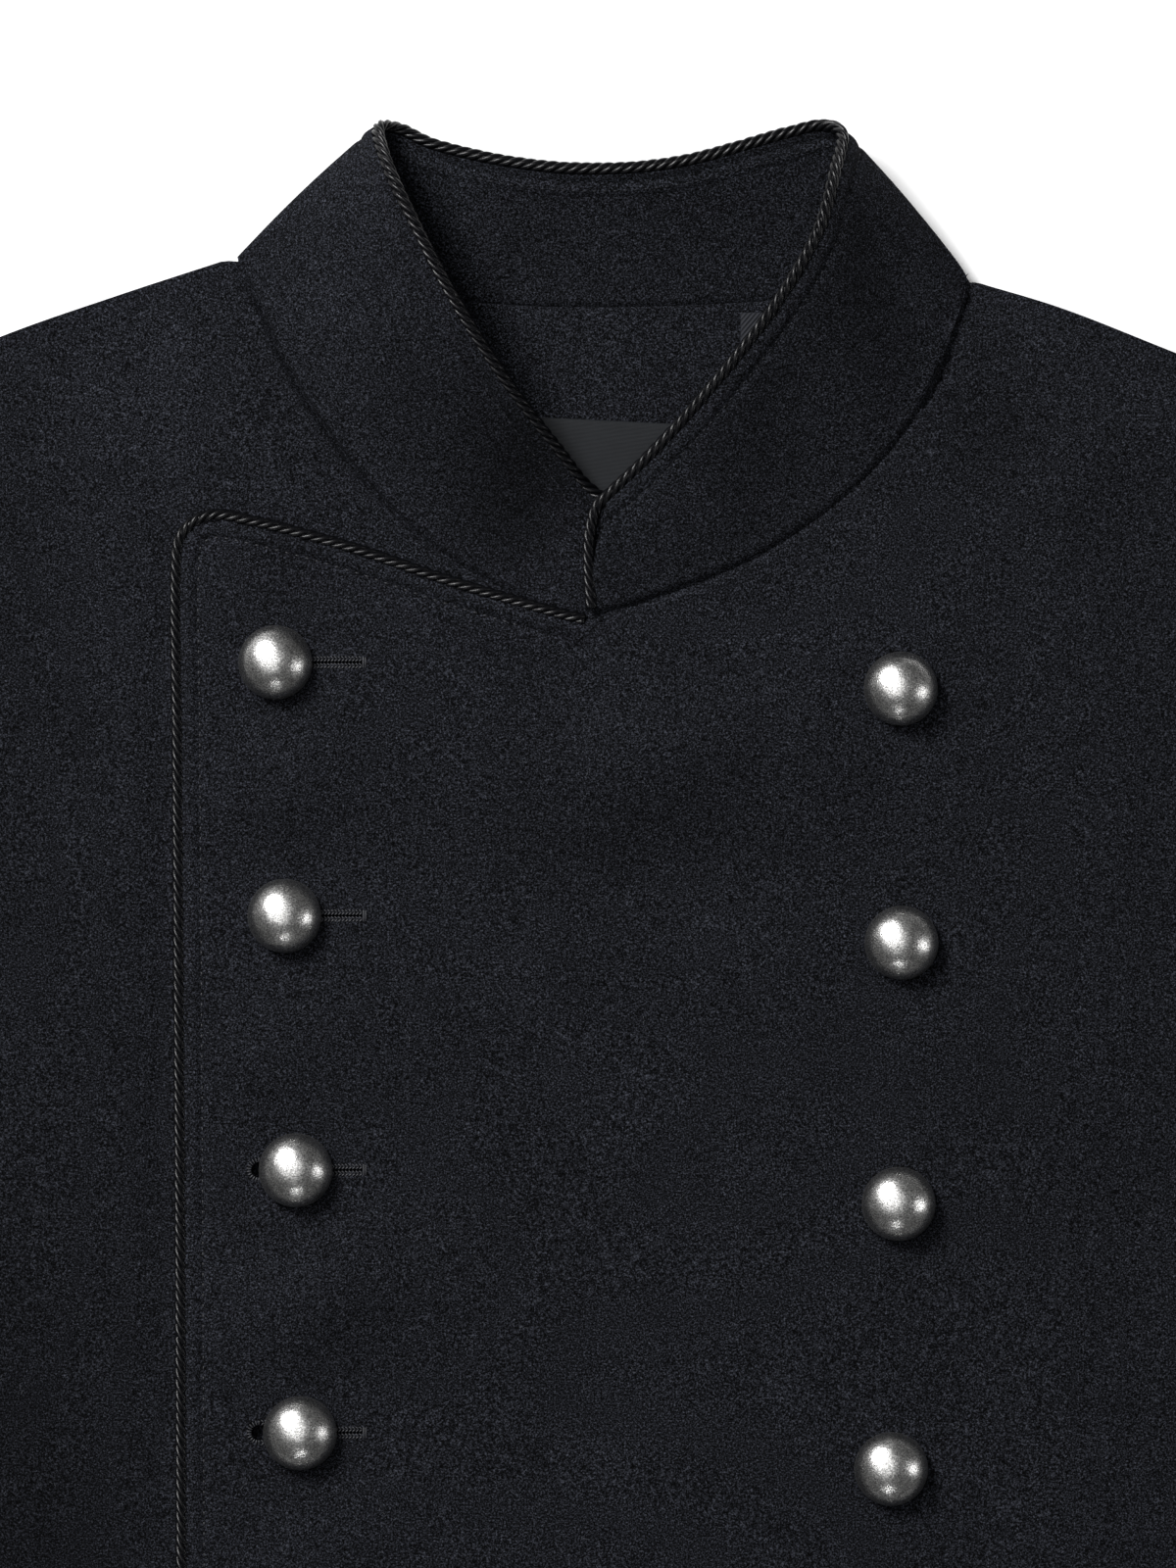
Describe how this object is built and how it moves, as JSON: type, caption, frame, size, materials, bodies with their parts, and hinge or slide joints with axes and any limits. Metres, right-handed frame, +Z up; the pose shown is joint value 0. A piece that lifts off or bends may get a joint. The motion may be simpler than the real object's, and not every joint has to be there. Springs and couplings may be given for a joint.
{
  "type": "double-breasted cropped jacket",
  "caption": "Cropped wool jacket laid flat, with a funnel collar, an overlapping front with rounded corner, cord piping and domed metal buttons.",
  "frame": {"origin": "on the surface the jacket lies on, at the centre line, level with the underarms", "axes": "+X towards the wearer's left sleeve, +Y up the body to the collar, +Z up from the surface, out of the chest"},
  "size_m": [1.084, 0.6628, 0.0327],
  "materials": {
    "wool": "near-black navy wool melton, matt, with a soft nap",
    "cord": "black twisted rayon cord, glossy",
    "button_metal": "satin pewter, finely scratched",
    "label_satin": "dark satin, bare",
    "tape": "dark twill tape"
  },
  "bodies": {
    "root": {"back": "wool", "back_neck_facing": "wool", "neck_label": "label_satin", "hanger_loop": "tape", "front_under": "wool", "front_over": "wool", "sleeve_left": "wool", "sleeve_right": "wool", "collar": "wool", "piping_collar": "cord", "piping_front": "cord", "button_fastened_1": "button_metal", "button_fastened_2": "button_metal", "button_fastened_3": "button_metal", "button_fastened_4": "button_metal", "button_fastened_5": "button_metal", "button_show_1": "button_metal", "button_show_2": "button_metal", "button_show_3": "button_metal", "button_show_4": "button_metal", "button_show_5": "button_metal"}
  },
  "joints": []
}
